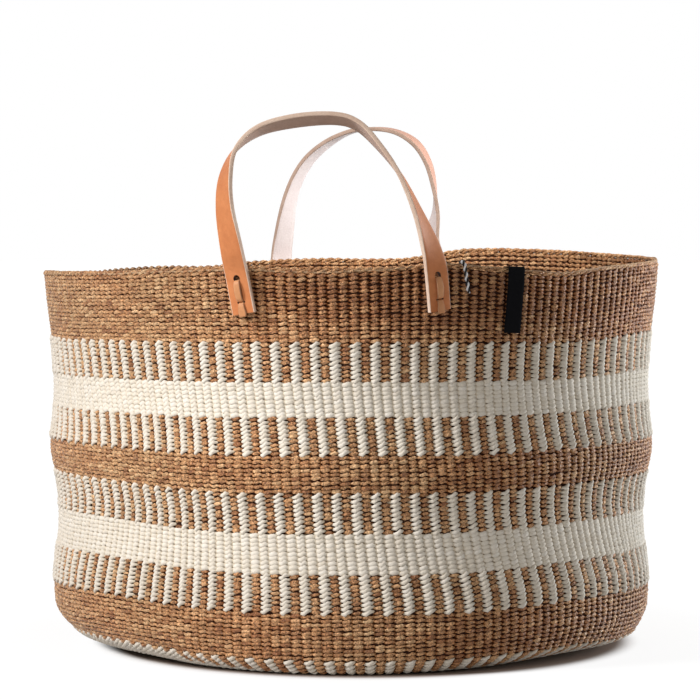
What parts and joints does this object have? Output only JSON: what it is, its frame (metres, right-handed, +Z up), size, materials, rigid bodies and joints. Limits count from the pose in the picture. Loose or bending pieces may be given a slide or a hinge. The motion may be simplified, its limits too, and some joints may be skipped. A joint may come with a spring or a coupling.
{
  "type": "kiondo basket",
  "caption": "Round twined basket with tan, cream and striped bands, an open top and two leather strap handles that fold inwards or outwards at the rim.",
  "frame": {"origin": "on the floor under the middle of the basket", "axes": "+Z up; -Y is the front, where the label is; +X to the right seen from the front"},
  "size_m": [0.52, 0.5323, 0.4422],
  "materials": {
    "tan_paper_yarn": "matte twisted paper yarn, twined",
    "cream_wool": "matte thick wool yarn, slightly fuzzy",
    "striped_yarns": "cream wool and tan paper yarn in turn, column by column",
    "leather": "vegetable-tanned, smooth grain outside, pale suede inside and at cut edges",
    "leather_lace": "vegetable-tanned lace, satin",
    "label_black": "black woven ribbon, bare",
    "marker_yarn": "one black and one white ply twisted together"
  },
  "bodies": {
    "basket": {"base_weave": "cream_wool", "heel_stripe_band": "striped_yarns", "lower_tan_band": "tan_paper_yarn", "lower_stripes_under": "striped_yarns", "lower_cream_band": "cream_wool", "lower_stripes_over": "striped_yarns", "middle_tan_band": "tan_paper_yarn", "upper_stripes_under": "striped_yarns", "upper_cream_band": "cream_wool", "upper_stripes_over": "striped_yarns", "rim_tan_band": "tan_paper_yarn", "rim_closing_row": "tan_paper_yarn", "label_tag": "label_black", "marker_yarn": "marker_yarn", "front_left_strap_end": "leather", "front_left_lace": "leather_lace", "front_right_strap_end": "leather", "front_right_lace": "leather_lace", "back_left_strap_end": "leather", "back_left_lace": "leather_lace", "back_right_strap_end": "leather", "back_right_lace": "leather_lace"},
    "front_handle": {"front_strap_arch": "leather"},
    "back_handle": {"back_strap_arch": "leather"}
  },
  "joints": [
    {"name": "front_handle_fold", "type": "hinge", "parent": "basket", "child": "front_handle", "pos_m": [0, -0.25632, 0.33066], "axis": [1, 0, 0], "range_deg": [-90, 105]},
    {"name": "back_handle_fold", "type": "hinge", "parent": "basket", "child": "back_handle", "pos_m": [0, 0.25689, 0.33744], "axis": [-1, 0, 0], "range_deg": [-90, 105]}
  ]
}
